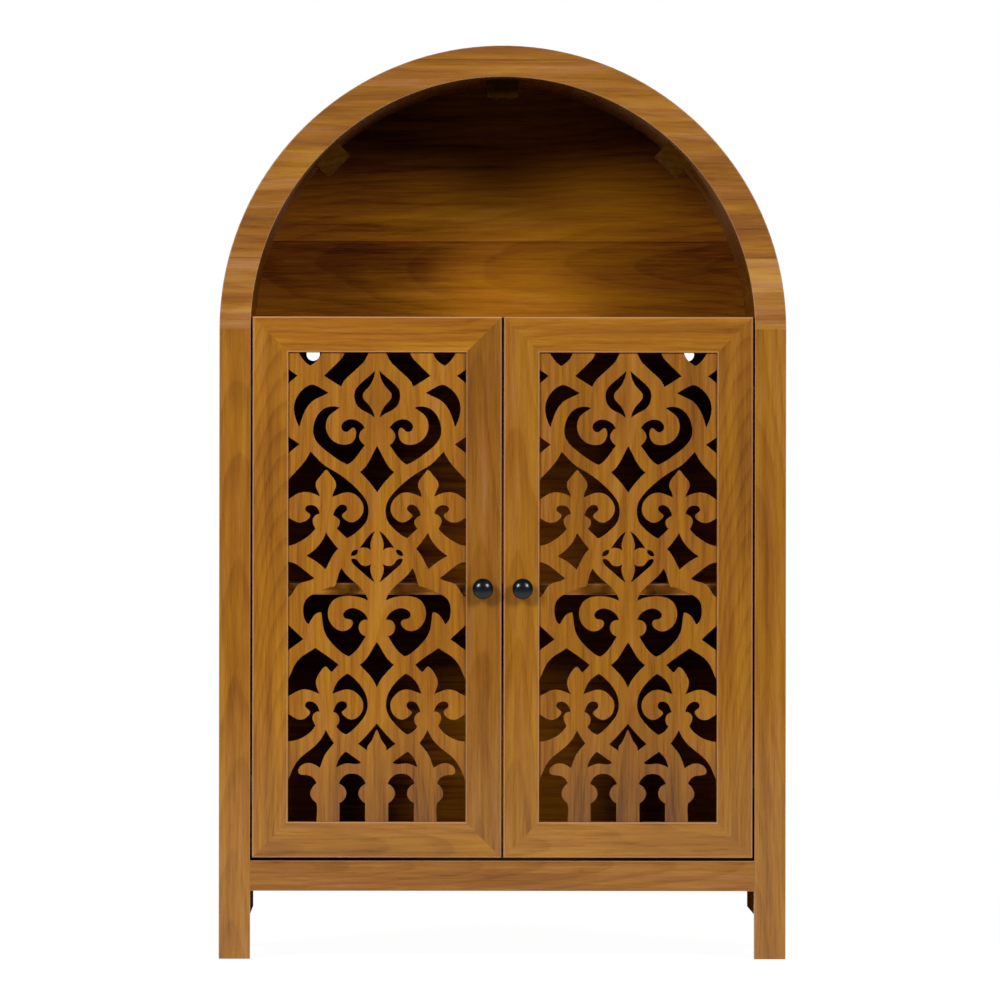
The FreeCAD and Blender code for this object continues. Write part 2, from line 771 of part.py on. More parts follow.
catch_front = door_rear + size.strike_thick + size.catch_gap
catch_x = size.door_gap / 2 + size.strike_inset
catch_blank = box("catch_blank", size.catch_width, size.catch_length, size.catch_height,
                  -size.catch_width / 2, catch_front, top_panel_lift - size.catch_height)
magnets = []
magnet_seats = []
for side, sign in SIDES.items():
    middle = top_panel_lift - size.catch_height / 2
    magnets.append(middle_box(f"magnet_{side}", size.magnet_width, size.magnet_length, size.magnet_height,
                              sign * catch_x, catch_front, middle))
    magnet_seats.append(middle_box(f"magnet_seat_{side}", size.magnet_width + size.fit_gap * 2,
                                   size.magnet_length + size.fit_gap, size.magnet_height + size.fit_gap * 2,
                                   sign * catch_x, catch_front, middle))
catch_screw, catch_hole = screw("catch_screw", size.catch_height - size.screw_head + size.screw_short, 0,
                                catch_front + size.catch_length / 2,
                                top_panel_lift - size.catch_height + size.screw_head, "+z")
catch_sink = rod("catch_sink", size.screw_head_radius + size.fit_gap, size.screw_head + size.fit_gap, 0,
                 catch_front + size.catch_length / 2,
                 top_panel_lift - size.catch_height - size.fit_gap)
node("catch_case", cut("catch_case", catch_blank, magnet_seats + [catch_hole, catch_sink]))
node("catch_magnets", group("catch_magnets", magnets))
node("catch_screw", catch_screw)
nodes[[item.Label for item in nodes].index("top_panel")].Tool.Links += [catch_hole]

# Fretwork. Each point is (across, down): across in hundredths of half the sight opening, from its
# side edge to its middle line, and down in thousandths of the opening's height, from its top. A hole
# is a list of runs. A run starts at a corner and goes on through its other points as one smooth
# curve to the next run's corner; a run of one point is a straight side.

SIDE_HOLE_SHARES = {
    "top_notch": [
        [(10.5, 0), (14.2, 10), (18.8, 20.5)],
        [(24.1, 28.5), (30.5, 20.5), (35.3, 10)],
        [(37.5, 0)],
    ],
    "top_edge_notch": [[(0, 34.5)], [(10.3, 49.8)], [(0, 67.5)]],
    "top_slant": [
        [(63.2, 0), (59.8, 12.5), (55.9, 20.5), (50.3, 31)],
        [(40, 49.8), (50, 62)],
        [(59.4, 73), (62, 63), (65.3, 55), (72, 43.5), (80, 29.5), (85, 20), (88.2, 9)],
        [(91, 0)],
    ],
    "bud_side": [
        [(97.6, 38.5), (90.5, 51), (80.5, 67.5), (75.2, 81), (74.2, 95), (76.3, 110), (80.5, 119.5), (89.5, 129)],
        [(96.9, 139.5), (94.2, 122), (88.8, 108), (84.2, 97), (84.4, 87), (87.7, 79.5), (92.5, 68.5), (96, 55)],
    ],
    "crescent": [
        [(45.2, 86), (39, 79), (32.5, 72.3), (26.5, 68.7), (20, 73.5), (13.5, 84), (8.2, 100), (6.2, 118), (7.6, 138)],
        [(12.3, 159.5), (14.8, 143), (19.8, 120.8), (29, 101.5), (37.5, 93.5)],
    ],
    "great_scroll": [
        [(57.8, 117.8), (49, 115), (39.5, 120.8), (32, 136.5), (28.2, 157), (28.5, 177.5), (33.5, 194.5),
         (45, 213.5), (58, 231)],
        [(66.5, 239), (75.5, 225.5), (82, 208.5)],
        [(86.2, 198), (81.6, 189.5), (79.6, 178.5), (80.8, 171)],
        [(86, 161), (80, 148), (71, 142.3), (62.5, 148), (59.6, 158), (62.2, 167.8), (67, 168.8), (70.5, 163),
         (73.4, 160.6), (75.6, 166), (76, 176.5), (72.5, 190.5), (62, 196.7), (50, 187.8), (43.4, 170),
         (42.4, 152), (46, 135), (52.5, 125)],
    ],
    "upper_edge_notch": [[(0, 178)], [(12.6, 195.8)], [(0, 216.5)]],
    "tree": [
        [(24.8, 211), (30, 221), (40, 239.5), (50, 251), (62, 265.8), (75, 286.5), (84, 305), (89, 321), (90.4, 340),
         (88, 360), (80.5, 377), (72, 390)],
        [(66, 396), (60.5, 386.5)],
        [(54.3, 375), (57.6, 366), (57.6, 358), (54.5, 351.5)],
        [(50.7, 347), (51.6, 340), (55, 330), (60.3, 324.3), (65.3, 327.5), (66.2, 334.5), (63, 341.5),
         (60.5, 347), (64, 356.5), (72, 362), (80, 353.5), (84.3, 340), (84, 324), (79, 308.8), (72.5, 300.3),
         (65, 298.3), (57, 302.5)],
        [(50, 308), (51.2, 296.5), (53.8, 284), (52.5, 273.5), (47.6, 261), (44.6, 253.5), (42.8, 250.3),
         (40.6, 253.2), (35.8, 264.5), (31.4, 276), (31.6, 289), (34.4, 300)],
        [(35.4, 307.3), (28.5, 301), (20, 297.6), (11, 300.6), (4, 308.5)],
        [(0, 315)],
        [(0, 273.5), (8, 255), (16, 238)],
    ],
    "trunk_side": [
        [(35.2, 344), (33.5, 333.5), (29.8, 327), (24.8, 325.3), (20, 329), (19, 335.5), (22.5, 342), (24.7, 347.3),
         (23.2, 353.5), (18.8, 359.8), (12.2, 362.5), (5, 357.5)],
        [(0, 350.5)],
        [(0, 412), (5, 410.3), (15, 401.5), (25, 387.8)],
        [(30.8, 375.8), (28.3, 367), (27.4, 357.5), (29.6, 349.5)],
    ],
    "upper_kite": [
        [(20.3, 433.7), (30, 419.7), (36.5, 406)],
        [(42.4, 383.5), (48.9, 401.5)],
        [(56.2, 418.5), (49, 436.5), (45.5, 449.5)],
        [(42, 462.5), (34, 449.3)],
    ],
    "middle_edge_notch": [
        [(0, 446.5), (7, 449.5), (15, 459.2), (22, 470)],
        [(29.4, 480.7), (20, 488.3), (13, 492.8), (8.6, 501), (4.5, 514)],
        [(0, 522)],
    ],
    "cross_slot": [[(70.6, 433.2), (72.6, 423.6)], [(78.6, 420.2), (76.6, 430.6)]],
    "cross_upper": [
        [(97.8, 380.5), (92, 388.5), (87.6, 398.4), (83.6, 408.5)],
        [(80.4, 417.4), (88.3, 416.6)],
        [(93.6, 422), (92.6, 409), (94.4, 395)],
    ],
    "cross_lower": [
        [(70.8, 441), (73, 450.5), (80, 462.8), (90.5, 480.5)],
        [(97.6, 490.3), (94.6, 478.5), (92.5, 463)],
        [(93.8, 449.3), (88, 454.8), (82, 452.3), (78.3, 443.8), (74.5, 439.3)],
    ],
    "lower_scroll": [
        [(60.2, 459.3), (56.5, 474), (54.4, 489)],
        [(52.4, 499), (43, 502.3), (34, 510.3), (25.5, 517.8), (19.2, 529.5), (16.9, 546), (17.6, 563), (20.2, 574.5)],
        [(23.1, 579.3), (25.6, 571), (29.3, 560.5), (34, 554.6)],
        [(37.2, 553.8), (38.5, 571), (40.3, 592), (46.5, 614), (55, 631), (62.5, 642.5)],
        [(68.6, 647.8), (75, 639), (81.5, 623.5)],
        [(87.5, 604.5), (81.8, 598), (79.5, 586), (81.2, 576)],
        [(89.7, 570), (86.5, 557.5), (79.8, 548.3), (72, 544.8), (65, 550), (61.9, 558.5), (64, 566.5), (70.5, 569.7),
         (72.8, 575), (70.8, 585.5), (61, 593.6), (51.5, 585.5), (45.6, 567.5), (45.5, 545.5), (51, 528.3),
         (60, 520.3), (71, 519), (81, 522)],
        [(90, 528.8), (87.5, 516), (80, 498.5), (68, 478.5)],
    ],
    "lower_edge_notch": [[(0, 578.5)], [(17.3, 611)], [(0, 636.5)]],
    "lower_tree": [
        [(30.6, 629.5), (40, 641.5), (50, 655)],
        [(57, 665.5)],
        [(49.5, 681), (45.6, 675.5), (42.4, 669.5), (39, 674), (34.5, 686), (31.6, 699.5), (32, 711)],
        [(35.8, 728), (28.5, 722.5), (20, 718.2), (11, 721.5), (4, 729)],
        [(0, 732.5)],
        [(0, 700), (2.5, 687), (7, 667.5), (15, 649), (22.5, 639.5)],
    ],
    "lower_tree_right": [
        [(67.4, 684), (73.5, 693), (80, 705.5), (86.5, 724), (89.7, 748), (88, 768.5), (82, 786.5), (74.5, 802)],
        [(66, 814.3), (61, 810.5)],
        [(54.3, 796.5), (57, 789.5), (57.6, 779), (54.8, 769.8)],
        [(50.7, 766), (52.3, 757.5), (56, 746.5), (60.5, 743.2), (65.5, 746.3), (66.5, 753), (64, 761), (60.6, 766.5),
         (64, 775.8), (72, 782.3), (80, 774.5), (84.3, 759), (84, 743.5), (79, 729.3), (72, 720), (64.5, 718.4),
         (56.5, 722.8)],
        [(49.8, 727.3), (51.8, 716), (55.8, 701.5), (60.8, 692)],
    ],
    "lower_trunk_side": [
        [(35.6, 765.5), (33.8, 755.5), (30, 747), (24.8, 743.4), (19.9, 747.5), (19.6, 755.5), (23, 761.5),
         (24.8, 766.8), (23, 773.5), (18.5, 780.5), (12, 782.3), (5, 776)],
        [(0, 768.5)],
        [(0, 829), (7, 827.5), (16, 821.3), (25, 809.8)],
        [(30.8, 796), (28.5, 786.5), (27.5, 777.5), (29.6, 769)],
    ],
    "sash": [
        [(42.6, 803.5), (38.3, 820.3), (30, 839), (20, 854), (12.5, 866.7), (5.9, 885.5), (2, 903)],
        [(0, 916)],
        [(0, 1000)],
        [(32.2, 1000), (32.8, 983), (32.8, 968)],
        [(32, 959.5), (28, 952.8), (25.3, 941.5), (26.8, 929.8)],
        [(32.2, 918.8), (29.3, 908.3), (24.5, 902), (16.5, 900), (12.3, 896.8), (11.8, 889), (16, 879.2), (23, 875),
         (30, 878.5)],
        [(36, 885.3), (38.3, 873), (40.8, 860.5), (46, 846)],
        [(52, 832.6), (47.6, 821)],
    ],
    "wing": [
        [(65.1, 850.3), (59.8, 860), (56, 872)],
        [(54.4, 884), (60.5, 878.7), (67, 875.7), (75, 877.3)],
        [(82.5, 874), (74.7, 862.8)],
    ],
    "baluster": [
        [(57.3, 919.5), (60, 908.8), (66, 899.3), (72.4, 897.3), (79, 899.7), (85, 909.3)],
        [(87.8, 919.5), (81.8, 927.7), (79.4, 940), (81.8, 951.8)],
        [(87, 960)],
        [(87, 1000)],
        [(58, 1000)],
        [(58, 960), (63.4, 952), (65.8, 939.5), (63, 926.2)],
    ],
}

# These cross the middle line: their runs start and end on it, and the other half mirrors them
MIDDLE_HOLE_SHARES = {
    "upper_diamond": [
        [(100, 198.5), (96.3, 212), (92, 228), (86.5, 244.5)],
        [(80.5, 254.8), (90, 273.3)],
        [(100, 298.5)],
    ],
    "lower_diamond": [
        [(100, 617), (95.3, 631), (90, 647.8)],
        [(80.6, 665.3), (90, 684), (95, 696)],
        [(100, 715)],
    ],
    "chevron": [
        [(100, 790.5), (94, 804), (86.5, 820)],
        [(78.8, 834.3)],
        [(89.8, 849.3), (89.3, 842.5), (94.3, 827.5), (97.5, 813)],
        [(100, 803.5)],
    ],
}
ACROSS_SHARE = 100
DOWN_SHARE = 1000

sight_half = door_width / 2 - size.member_width
sight_height = door_height - size.member_width * 2


def fret_point(share, sign):
    """A point of the fretwork in the door's own frame. A point on the edge goes on under the frame."""
    across, down = share
    x = sight_half.value * (across / ACROSS_SHARE - 1)
    if across == 0:
        x -= size.fret_tuck.value
    z = size.member_width.value + sight_height.value * (1 - down / DOWN_SHARE)
    if down == 0:
        z += size.fret_tuck.value
    elif down == DOWN_SHARE:
        z -= size.fret_tuck.value
    return FreeCAD.Vector(sign * x, 0, z)


def run_edge(points):
    """One side of a hole: straight, an arc through three points, or a smooth curve through more."""
    if len(points) == 2:
        return Part.LineSegment(*points).toShape()
    if len(points) == 3:
        return Part.Arc(*points).toShape()
    curve = Part.BSplineCurve()
    curve.interpolate(points)
    return curve.toShape()


def hole_wire(point_runs):
    following = point_runs[1:] + point_runs[:1]
    return Part.Wire([run_edge(run + after[:1]) for run, after in zip(point_runs, following)])


def side_hole(runs, sign):
    return hole_wire([[fret_point(share, sign) for share in run] for run in runs])


def middle_hole(runs):
    """Closes the half outline with its mirror image."""
    near_side = [[fret_point(share, 1) for share in run] for run in runs[:-1]]
    last = runs[-1][0]
    ends = [run[0] for run in runs]
    far_side = []
    for index in range(len(runs) - 2, -1, -1):
        middle_points = list(reversed(runs[index][1:]))
        start = ends[index + 1]
        far_side.append([fret_point(share, -1) for share in [start] + middle_points])
    far_side[0][0] = fret_point(last, 1)
    return hole_wire(near_side + far_side)


def fret_shape():
    reach = sight_half.value + size.rebate_width.value - size.fret_edge_gap.value
    edge = size.member_width.value - size.rebate_width.value + size.fret_edge_gap.value
    top = door_height.value - edge
    corners = [FreeCAD.Vector(x, 0, z) for x, z in
               ((-reach, edge), (reach, edge), (reach, top), (-reach, top), (-reach, edge))]
    wires = [Part.makePolygon(corners)]
    for runs in SIDE_HOLE_SHARES.values():
        wires += [side_hole(runs, 1), side_hole(runs, -1)]
    wires += [middle_hole(runs) for runs in MIDDLE_HOLE_SHARES.values()]
    face = Part.makeFace(wires, "Part::FaceMakerBullseye")
    sheet_of_wood = face.extrude(FreeCAD.Vector(0, size.fret_thick.value, 0))
    return sheet_of_wood


# Doors: two stiles and two rails mitred at the corners, a fretwork panel held in their rebate by
# beads, a knob, hinge cups and a strike plate


def member_profile(outer, inward):
    """The section of a frame member, from its outer edge: (across the member, from the front)."""
    face = outer + size.member_width * inward
    shoulder = outer + (size.member_width - size.rebate_width) * inward
    return [
        (outer, 0),
        (face, 0),
        (face, size.lip_thick),
        (shoulder, size.lip_thick),
        (shoulder, size.member_thick),
        (outer, size.member_thick),
    ]


def mitre_dowels(side, sign):
    """Dowels square across the mitres, and their holes."""
    pins, holes = [], []
    for corner_x in (-1, 1):
        for corner_z in (-1, 1):
            x = sign * door_middle + corner_x * (door_width / 2 - size.member_width / 2)
            z = door_bottom + door_height / 2 + corner_z * (door_height / 2 - size.member_width / 2)
            turn = FreeCAD.Rotation(Y_AXIS, 45 * corner_x * corner_z)
            for name, gap, found in (("mitre_dowel", 0, pins), ("mitre_hole", size.fit_gap, holes)):
                reach = size.mitre_dowel_length / 2 + gap
                found.append(rod(f"{name}_{side}_{corner_x}_{corner_z}", size.mitre_dowel_radius + gap,
                                 reach * 2, x - reach * math.sin(math.radians(45 * corner_x * corner_z)),
                                 front + size.member_thick / 2, z - reach * math.cos(math.radians(45)), turn))
    return pins, holes


def knob(side, x, z):
    """A round knob with a flat foot, a neck and a domed head, bored for its screw."""
    foot = cone(f"knob_foot_{side}", size.knob_foot_radius, size.knob_neck_radius, size.knob_foot_thick,
                x, front, z, "-y")
    neck = rod(f"knob_neck_{side}", size.knob_neck_radius, size.knob_reach - size.knob_head / 2, x, front, z, "-y")
    head = doc.addObject("Part::Ellipsoid", f"knob_head_{side}")
    bind(head, "Radius1", size.knob_head / 2)
    bind(head, "Radius2", size.knob_radius)
    bind(head, "Radius3", size.knob_radius)
    place(head, x, front - size.knob_reach + size.knob_head / 2, z, ALONG["-y"])
    bore = rod(f"knob_bore_{side}", size.knob_screw_radius + size.fit_gap,
               size.knob_screw_grip + size.fit_gap, x, front, z, "-y")
    return cut(f"knob_{side}", fused(f"knob_blank_{side}", [foot, neck, head]), [bore])


for side, sign in SIDES.items():
    middle = sign * door_middle
    dowel_pins, dowel_bores = mitre_dowels(side, sign)
    meeting_x = sign * size.door_gap / 2
    knob_x = meeting_x + sign * size.knob_inset
    knob_z = door_bottom + size.knob_height

    # Knob and its screw, put in from behind
    node(f"knob_{side}", knob(side, knob_x, knob_z))
    knob_shank_length = size.member_thick + size.knob_screw_grip
    knob_shank = rod(f"knob_shank_{side}", size.knob_screw_radius, knob_shank_length, knob_x, door_rear,
                     knob_z, "-y")
    knob_screw_head = rod(f"knob_screw_head_{side}", size.knob_screw_head_radius, size.knob_screw_head,
                          knob_x, door_rear, knob_z, "+y")
    node(f"knob_screw_{side}", fused(f"knob_screw_{side}", [knob_shank, knob_screw_head]))
    knob_hole = rod(f"knob_hole_{side}", size.knob_screw_radius + size.fit_gap, size.member_thick,
                    knob_x, door_rear, knob_z, "-y")

    # Strike plate on the upper meeting corner, with its screw below the catch
    strike_x = meeting_x + sign * size.strike_inset
    strike_screw_z = top_panel_lift - size.catch_height - size.strike_screw_gap - size.screw_head_radius
    strike_screw, strike_hole = screw(f"strike_screw_{side}", size.screw_short, strike_x,
                                      door_rear + size.strike_thick, strike_screw_z, "-y")
    strike = box(f"strike_blank_{side}", size.strike_width, size.strike_thick, size.strike_height,
                 strike_x - size.strike_width / 2, door_rear,
                 top_panel_lift - size.strike_drop - size.strike_height)
    node(f"strike_plate_{side}", cut(f"strike_plate_{side}", strike, [strike_hole]))
    node(f"strike_screw_{side}", strike_screw)

    # Stiles, then rails
    for name, toward in (("hinge_stile", -sign), ("meeting_stile", sign)):
        outer = door_width / 2 * -toward
        stile = padded(f"{name}_blank_{side}", "XY_Plane", member_profile(outer, toward), door_height)
        eased(stile, size.member_ease, lambda bounds: on_front(bounds) and bounds.ZLength > bounds.XLength)
        start = outer - size.overrun * toward
        finish = outer + (size.member_width + size.overrun) * toward
        above = door_height + size.overrun
        pocketed(stile, "XZ_Plane", [(start, above), (finish, above),
                 (finish, above - size.member_width - size.overrun * 2)], "upper_mitre")
        pocketed(stile, "XZ_Plane", [(start, -size.overrun), (finish, -size.overrun),
                 (finish, size.member_width + size.overrun)], "lower_mitre")
        place(stile, middle, front, door_bottom)
        holes = dowel_bores + (stile_holes[side] if name == "hinge_stile" else [knob_hole, strike_hole])
        node(f"{name}_{side}", cut(f"{name}_{side}", stile, holes))
    for name, outer, up in (("bottom_rail", as_size(0), 1), ("top_rail", door_height, -1)):
        profile = [(depth, height) for height, depth in member_profile(outer, up)]
        door_rail = padded(f"{name}_blank_{side}", "YZ_Plane", profile, door_width)
        eased(door_rail, size.member_ease, lambda bounds: on_front(bounds) and bounds.XLength > bounds.ZLength)
        below = outer - size.overrun * up
        inside = outer + (size.member_width + size.overrun) * up
        slope = size.member_width + size.overrun
        pocketed(door_rail, "XZ_Plane", [(-size.overrun, below), (-size.overrun, inside), (slope, inside)],
                 "left_mitre")
        pocketed(door_rail, "XZ_Plane", [(door_width + size.overrun, below),
                 (door_width + size.overrun, inside), (door_width - slope, inside)], "right_mitre")
        place(door_rail, middle - door_width / 2, front, door_bottom)
        node(f"{name}_{side}", cut(f"{name}_{side}", door_rail, dowel_bores))
    node(f"mitre_dowels_{side}", group(f"mitre_dowels_{side}", dowel_pins))

    # Fretwork panel behind the frame's lip, and the four beads that hold it there
    fret = doc.addObject("Part::Feature", f"fret_panel_{side}")
    fret.Shape = fret_shape()
    place(fret, middle, front + size.lip_thick, door_bottom)
    node(f"fret_panel_{side}", fret)
    bead_y = front + size.lip_thick + size.fret_thick
    bead_depth = size.member_thick - size.lip_thick - size.fret_thick
    bead_width = size.rebate_width - size.fit_gap
    bead_height = sight_height + bead_width * 2
    beads = [
        box(f"bead_low_{side}", sight_half * 2, bead_depth, bead_width, middle - sight_half, bead_y,
            door_bottom + size.member_width - bead_width),
        box(f"bead_high_{side}", sight_half * 2, bead_depth, bead_width, middle - sight_half, bead_y,
            door_top - size.member_width),
        box(f"bead_west_{side}", bead_width, bead_depth, bead_height, middle - sight_half - bead_width,
            bead_y, door_bottom + size.member_width - bead_width),
        box(f"bead_east_{side}", bead_width, bead_depth, bead_height, middle + sight_half, bead_y,
            door_bottom + size.member_width - bead_width),
    ]
    node(f"panel_beads_{side}", group(f"panel_beads_{side}", beads))
    node(f"hinge_cups_{side}", group(f"hinge_cups_{side}", cups[side]))
    node(f"hinge_cup_screws_{side}", group(f"hinge_cup_screws_{side}", cup_screws[side]))

# Check every object, then write one file for each piece

doc.recompute()
for item in doc.Objects:
    if "Invalid" in item.State or "Error" in item.State:
        raise RuntimeError(f"{item.Label} failed: {item.State}")
for item in nodes:
    if item.Shape.isNull() or not item.Shape.isValid() or not item.Shape.Solids:
        raise RuntimeError(f"{item.Label} has no valid solid")

os.makedirs("parts", exist_ok=True)
for item in nodes:
    item.Shape.exportStep(f"parts/{item.Label}.step")
    print(f"{item.Label}: {len(item.Shape.Solids)} solid(s), {item.Shape.Volume / 1000:.1f} cm3")
print(len(nodes), "pieces")
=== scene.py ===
# %% [markdown]
# # An arched cabinet with fretwork doors
#
# The real cabinet is about 600 mm wide and 970 mm tall, made of board with a golden brown wood
# finish. An open niche sits in the arch, and two doors with pierced panels close the cupboard
# under it. Every rigid piece comes from the construction model at its real size and place. This
# lesson gives the pieces their finishes, eases the rims that the construction model leaves
# sharp, and sets the floor, the lamps and the camera.

import math

import bpy
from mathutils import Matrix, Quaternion, Vector


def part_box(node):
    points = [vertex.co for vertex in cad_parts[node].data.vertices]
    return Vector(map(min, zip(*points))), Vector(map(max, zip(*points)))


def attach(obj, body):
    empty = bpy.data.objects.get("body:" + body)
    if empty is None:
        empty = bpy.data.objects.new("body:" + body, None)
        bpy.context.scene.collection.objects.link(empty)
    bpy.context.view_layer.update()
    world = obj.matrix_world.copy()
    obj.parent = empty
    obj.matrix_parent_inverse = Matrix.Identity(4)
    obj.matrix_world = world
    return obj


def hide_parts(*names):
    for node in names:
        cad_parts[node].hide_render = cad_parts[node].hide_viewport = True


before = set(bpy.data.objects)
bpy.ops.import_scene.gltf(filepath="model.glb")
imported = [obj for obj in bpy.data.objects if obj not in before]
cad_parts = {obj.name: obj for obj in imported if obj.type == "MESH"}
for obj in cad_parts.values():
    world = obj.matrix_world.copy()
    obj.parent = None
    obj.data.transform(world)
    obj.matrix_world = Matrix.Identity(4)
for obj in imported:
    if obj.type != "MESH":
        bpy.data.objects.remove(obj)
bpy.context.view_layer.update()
pieces = dict(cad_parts)
front_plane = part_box("post_left")[0].y

# %% [markdown]
# ## Camera
#
# The photograph was taken from far away with a long lens, a little to the left of the middle and
# at half the cabinet's height, so its upright lines stay parallel. A camera ten metres away with
# a narrow lens gives the same view. Its distance and height set where the inner edges of the
# niche show, and the lens is then whatever makes the picture as wide as the photograph.

# %% Place the camera
picture_width = 1.0585
camera_distance = 10.5
stand = Vector((-0.0986, front_plane - camera_distance, 0.480))
target = Vector((-0.0029, front_plane, 0.4859))
roll = math.radians(0.08)

lens = bpy.data.cameras.new("long_lens")
lens.sensor_width = 36
lens.lens = lens.sensor_width * (target - stand).length / picture_width
lens.clip_end = 100
camera = bpy.data.objects.new("long_lens", lens)
camera.location = stand
camera.rotation_euler = ((target - stand).to_track_quat("-Z", "Y") @ Quaternion((0, 0, 1), roll)).to_euler()
bpy.context.scene.collection.objects.link(camera)
bpy.context.scene.camera = camera
bpy.context.scene.view_settings.view_transform = "Standard"
print(f"lens {lens.lens:.1f} mm from {camera_distance} m")

# %% [markdown]
# ## Writing a finish as sums
#
# A finish is a network of nodes, and most of them only add, multiply or compare numbers. A small
# class stands for the output of a node and takes Python's own signs, so that the pattern of a
# board can be read as a formula. One method adds every other kind of node.

# %% A class for the values in a finish
class Value:
    """One output of a node in a finish. Sums and products of it add Math nodes."""

    def __init__(self, finish, socket):
        self.finish = finish
        self.socket = socket

    def maths(self, operation, *others):
        return self.finish.add("Math", {"operation": operation}, dict(enumerate((self, *others))))

    def __add__(self, other):
        return self.maths("ADD", other)

    def __sub__(self, other):
        return self.maths("SUBTRACT", other)

    def __mul__(self, other):
        return self.maths("MULTIPLY", other)

    def __truediv__(self, other):
        return self.maths("DIVIDE", other)

    def __rsub__(self, other):
        return self.finish.add("Math", {"operation": "SUBTRACT"}, {0: other, 1: self})

    __radd__ = __add__
    __rmul__ = __mul__


# %% A class for finishes
class Finish:
    """A material being made, with its surface shader ready."""

    def __init__(self, name):
        self.material = bpy.data.materials.new(name)
        self.material.use_nodes = True
        self.tree = self.material.node_tree
        self.surface = self.tree.nodes["Principled BSDF"]

    def put(self, socket, value):
        """Sets a socket to a value, or links it to another node's output."""
        if isinstance(value, Value):
            self.tree.links.new(value.socket, socket)
        elif hasattr(socket.default_value, "__len__") and len(socket.default_value) == 4 and len(value) == 3:
            socket.default_value = (*value, 1)
        else:
            socket.default_value = value

    def add(self, kind, settings=None, values=None, output=0):
        """Adds a node of any kind: first its settings, then its sockets, and returns one output."""
        node = self.tree.nodes.new("ShaderNode" + kind)
        for name, setting in (settings or {}).items():
            if name == "stops":
                for number, (place, colour) in enumerate(setting):
                    ramp = node.color_ramp.elements
                    stop = ramp[number] if number < 2 else ramp.new(place)
                    stop.position = place
                    stop.color = (*colour, 1)
            else:
                setattr(node, name, setting)
        for name, value in (values or {}).items():
            self.put(node.inputs[name], value)
        return Value(self, node.outputs[output])

    def mix(self, share, first, second, blend="MIX"):
        """Colours mixed by a share from 0 to 1."""
        return self.add("Mix", {"data_type": "RGBA", "blend_type": blend},
                        {"Factor": share, "A": first, "B": second}, output=2)

    def ramp(self, value, low, high, to_low=0.0, to_high=1.0):
        """Goes smoothly from to_low to to_high as the value goes from low to high."""
        return self.add("MapRange", {"interpolation_type": "SMOOTHSTEP"},
                        {"Value": value, "From Min": low, "From Max": high, "To Min": to_low, "To Max": to_high})

    def parts(self, vector):
        """The three numbers of a vector."""
        outputs = self.add("SeparateXYZ", None, {"Vector": vector}).socket.node.outputs
        return [Value(self, outputs[i]) for i in range(3)]

    def finish(self, **sockets):
        """Feeds the surface shader. Underlines in the names stand for spaces."""
        for name, value in sockets.items():
            self.put(self.surface.inputs[name.replace("_", " ")], value)
        return self.material


def srgb(red, green, blue):
    """A colour as it looks on a screen, in the linear numbers that the shader takes."""
    return tuple((c / 255 / 12.92) if c <= 10 else ((c / 255 + 0.055) / 1.055) ** 2.4 for c in (red, green, blue))


print("golden brown in linear numbers:", [round(c, 3) for c in srgb(160, 103, 14)])

# %% [markdown]
# ## Eased fretwork
#
# The pierced panels are cut from thin board, and the cutter leaves their rims slightly rounded, so
# each opening is drawn by a fine light line. The construction model has sharp rims. A copy of each
# panel has its loose triangles merged, its flat areas joined up again and its sharp edges
# bevelled by well under a millimetre, and then stands for the original.

# %% Ease the rims of the fretwork
def eased_copy(name, width, body):
    """A copy of a CAD piece with its sharp edges bevelled, which stands for it."""
    copy = bpy.data.objects.new(f"{name}_eased", pieces[name].data.copy())
    bpy.context.scene.collection.objects.link(copy)
    bpy.ops.object.select_all(action="DESELECT")
    copy.select_set(True)
    bpy.context.view_layer.objects.active = copy
    bpy.ops.object.mode_set(mode="EDIT")
    bpy.ops.mesh.select_all(action="SELECT")
    bpy.ops.mesh.remove_doubles(threshold=1e-5)
    bpy.ops.mesh.dissolve_limited(angle_limit=math.radians(0.5))
    bpy.ops.object.mode_set(mode="OBJECT")
    bevel = copy.modifiers.new("eased_rims", "BEVEL")
    bevel.width = width
    bevel.segments = 2
    bevel.limit_method = "ANGLE"
    bevel.angle_limit = math.radians(50)
    bpy.ops.object.modifier_apply(modifier=bevel.name)
    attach(copy, body)
    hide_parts(name)
    pieces[name] = copy
    print(name, "has", len(copy.data.polygons), "faces")


for side in ("left", "right"):
    eased_copy(f"fret_panel_{side}", 0.0007, f"door_{side}")

# %% [markdown]
# ## Wood finish
#
# The boards carry a printed wood finish: long fine fibres, bands of a redder brown, and here and
# there the nested arches that show where a board was cut off the side of a log. That last figure
# comes from growth rings cut at a slant, so the finish does the same: it takes the distance from
# a leaning log's core and draws a line at each ring. Noise that is stretched along the grain bends
# the rings and makes the fibres. Each piece moves and turns the same pattern, so no two
# neighbours repeat it.

# %% Which way the grain runs
GRAIN_TURNS = {
    "up": (math.pi / 2, 0, math.pi / 2),
    "across": (-math.pi / 2, 0, 0),
    "back": (0, 0, -math.pi / 2),
}
ALONG_SHIFT = 1.7
DEPTH_SHIFT = 0.37


def board_places(f, grain, seed, core):
    """Distances along the grain, across it from the log's core, and into the board."""
    place = f.add("TexCoord", output="Object")
    return f.parts(f.add("Mapping", {"vector_type": "POINT"},
                         {"Vector": place, "Rotation": GRAIN_TURNS[grain],
                          "Location": (seed * ALONG_SHIFT, -core, seed * DEPTH_SHIFT)}))


def core_of(name, axis, offset=0.0):
    """Where a log's middle lies, given from the middle of a piece."""
    low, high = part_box(name)
    return (low[axis] + high[axis]) / 2 + offset


print("the left post's log lies at x =", round(core_of("post_left", 0, 0.004), 3))

